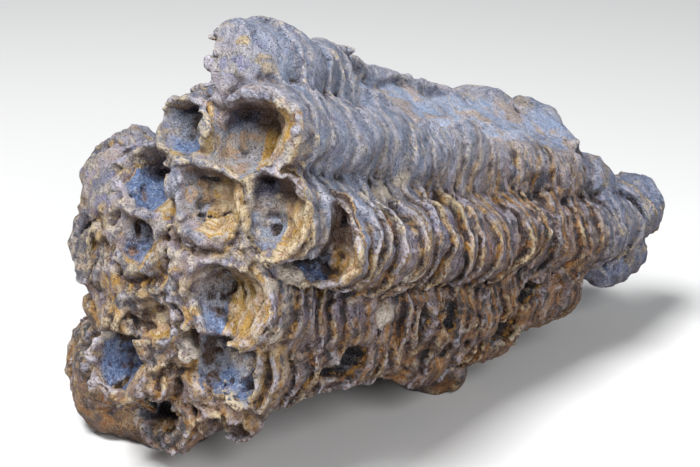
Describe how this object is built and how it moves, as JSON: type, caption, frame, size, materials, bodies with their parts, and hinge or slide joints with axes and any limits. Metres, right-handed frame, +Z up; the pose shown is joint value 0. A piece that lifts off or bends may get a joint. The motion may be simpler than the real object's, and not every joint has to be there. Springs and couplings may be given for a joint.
{
  "type": "fossil coral",
  "caption": "Loose block of a fossil coral colony: stacked, rimmed stems fan out from a blunt tip to a domed face of cups. Rests on its worn underside as a display or ground piece.",
  "frame": {"origin": "centre of the block's footprint, on the surface that it lies on", "axes": "+Z up, -Y out of the face of cups, +Y towards the blunt tip, +X out of the flank that shows the stacked rims"},
  "size_m": [0.0844, 0.1554, 0.1003],
  "materials": {
    "coral_stone": "matte weathered limestone, grey and bluish with rust-brown grooves"
  },
  "bodies": {
    "root": {"coral_colony": "coral_stone"}
  },
  "joints": []
}
